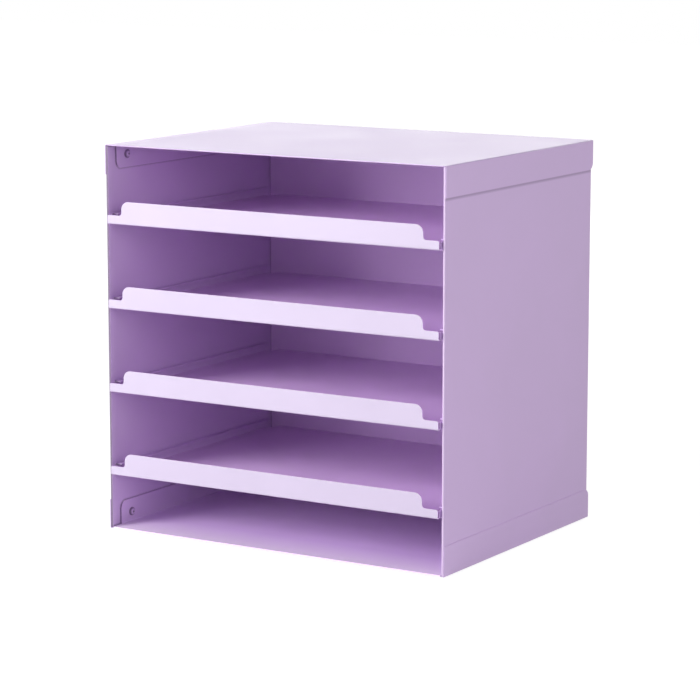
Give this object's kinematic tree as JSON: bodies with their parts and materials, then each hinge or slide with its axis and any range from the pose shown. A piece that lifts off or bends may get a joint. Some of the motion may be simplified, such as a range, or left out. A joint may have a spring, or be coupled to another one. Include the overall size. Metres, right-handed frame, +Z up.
{
  "type": "desk organizer",
  "caption": "Open-fronted case of folded sheet steel with pull-out trays that have stepped front lips, for sorting paper on a desk.",
  "frame": {"origin": "on the desk, under the middle of the whole object's outside box, trays closed", "axes": "+Z up, the open front and the trays' lips face -Y, +X to the right of someone who faces the front"},
  "size_m": [0.32, 0.2484, 0.3215],
  "materials": {
    "cover_paint": "fine-textured satin powder coat, lilac",
    "pan_paint": "fine-textured satin powder coat, lilac",
    "side_paint": "fine-textured satin powder coat, lilac",
    "back_paint": "fine-textured satin powder coat, lilac",
    "runner_paint": "fine-textured satin powder coat, lilac",
    "tray_paint": "fine-textured satin powder coat, lilac",
    "screw_paint": "satin paint over steel, lilac",
    "pad_rubber": "matt rubber"
  },
  "bodies": {
    "case": {"top_cover": "cover_paint", "base_cover": "cover_paint", "ceiling_pan": "pan_paint", "floor_pan": "pan_paint", "right_side_panel": "side_paint", "left_side_panel": "side_paint", "back_panel": "back_paint", "case_screws": "screw_paint", "foot_pads": "pad_rubber", "right_runner_1": "runner_paint", "left_runner_1": "runner_paint", "right_runner_2": "runner_paint", "left_runner_2": "runner_paint", "right_runner_3": "runner_paint", "left_runner_3": "runner_paint", "right_runner_4": "runner_paint", "left_runner_4": "runner_paint"},
    "tray_1": {"tray_1": "tray_paint"},
    "tray_2": {"tray_2": "tray_paint"},
    "tray_3": {"tray_3": "tray_paint"},
    "tray_4": {"tray_4": "tray_paint"}
  },
  "joints": [
    {"name": "tray_1_slide", "type": "slide", "parent": "case", "child": "tray_1", "axis": [0, -1, 0], "range_m": [0, 0.165]},
    {"name": "tray_2_slide", "type": "slide", "parent": "case", "child": "tray_2", "axis": [0, -1, 0], "range_m": [0, 0.165]},
    {"name": "tray_3_slide", "type": "slide", "parent": "case", "child": "tray_3", "axis": [0, -1, 0], "range_m": [0, 0.165]},
    {"name": "tray_4_slide", "type": "slide", "parent": "case", "child": "tray_4", "axis": [0, -1, 0], "range_m": [0, 0.165]}
  ]
}
